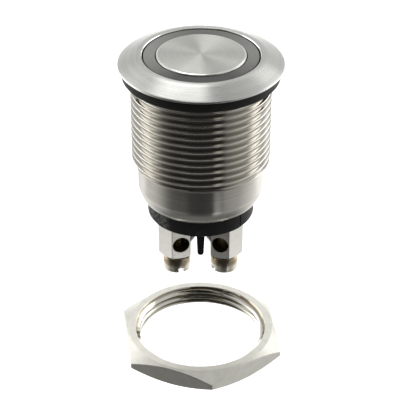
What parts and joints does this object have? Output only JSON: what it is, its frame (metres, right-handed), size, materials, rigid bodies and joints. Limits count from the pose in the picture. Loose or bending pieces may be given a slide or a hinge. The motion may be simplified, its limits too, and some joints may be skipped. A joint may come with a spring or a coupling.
{
  "type": "pushbutton switch",
  "caption": "Round metal panel-mounted momentary pushbutton with light ring, threaded barrel, gasket, screw-terminal posts and separate hexagonal panel nut.",
  "frame": {"origin": "on the button's axis at the gasket's underside, where the panel's front face lies", "axes": "+Z out of the panel towards the user, the two terminal posts stand along X, the lamp pins lie towards +Y"},
  "size_m": [0.0236, 0.0252, 0.0482],
  "materials": {
    "brushed_stainless": "turned and brushed",
    "spun_stainless": "spun face with a bright bevel",
    "nut_stainless": "satin",
    "nickel_plate": "plated",
    "spring_steel": "drawn wire",
    "contact_brass": "rolled strip",
    "contact_silver": "contact silver",
    "black_rubber": "moulded",
    "black_plastic": "moulded",
    "white_plastic": "moulded",
    "grey_diffuser": "translucent, unlit",
    "board_laminate": "lacquered",
    "lamp_lens": "clear"
  },
  "bodies": {
    "housing": {"barrel_housing": "brushed_stainless", "flange_gasket": "black_rubber", "guide_body": "black_plastic", "led_board": "board_laminate", "led_1": "lamp_lens", "led_2": "lamp_lens", "led_3": "lamp_lens", "led_4": "lamp_lens", "led_pin_minus": "nickel_plate", "led_pin_plus": "nickel_plate", "fixed_contact_left": "contact_silver", "fixed_contact_right": "contact_silver", "terminal_base": "black_plastic", "terminal_post_left": "nickel_plate", "terminal_post_right": "nickel_plate", "return_spring": "spring_steel"},
    "button": {"button_cap": "spun_stainless", "light_ring": "grey_diffuser", "button_seal": "black_rubber", "plunger": "white_plastic", "bridge_clip": "spring_steel", "contact_spring": "spring_steel"},
    "bridge": {"bridge_contact": "contact_brass", "bridge_tip_left": "contact_silver", "bridge_tip_right": "contact_silver"},
    "nut": {"panel_nut": "nut_stainless"},
    "left_screw": {"clamp_screw_left": "nickel_plate"},
    "right_screw": {"clamp_screw_right": "nickel_plate"}
  },
  "joints": [
    {"name": "button_press", "type": "slide", "parent": "housing", "child": "button", "axis": [0, 0, -1], "range_m": [0, 0.0016], "stiffness_N_per_m": 600, "springref_m": -0.003, "deforming": ["return_spring"]},
    {"name": "bridge_travel", "type": "slide", "parent": "housing", "child": "bridge", "axis": [0, 0, -1], "range_m": [0, 0.001], "deforming": ["contact_spring"]},
    {"name": "nut_travel", "type": "slide", "parent": "housing", "child": "nut", "axis": [0, 0, 1], "range_m": [0, 0.041]},
    {"name": "left_screw_travel", "type": "slide", "parent": "housing", "child": "left_screw", "axis": [0, 0, -1], "range_m": [0, 0.0026]},
    {"name": "right_screw_travel", "type": "slide", "parent": "housing", "child": "right_screw", "axis": [0, 0, -1], "range_m": [0, 0.0026]}
  ],
  "couplings": [
    {"joint": "bridge_travel", "follows": "button_press", "ratio": 0.625}
  ]
}
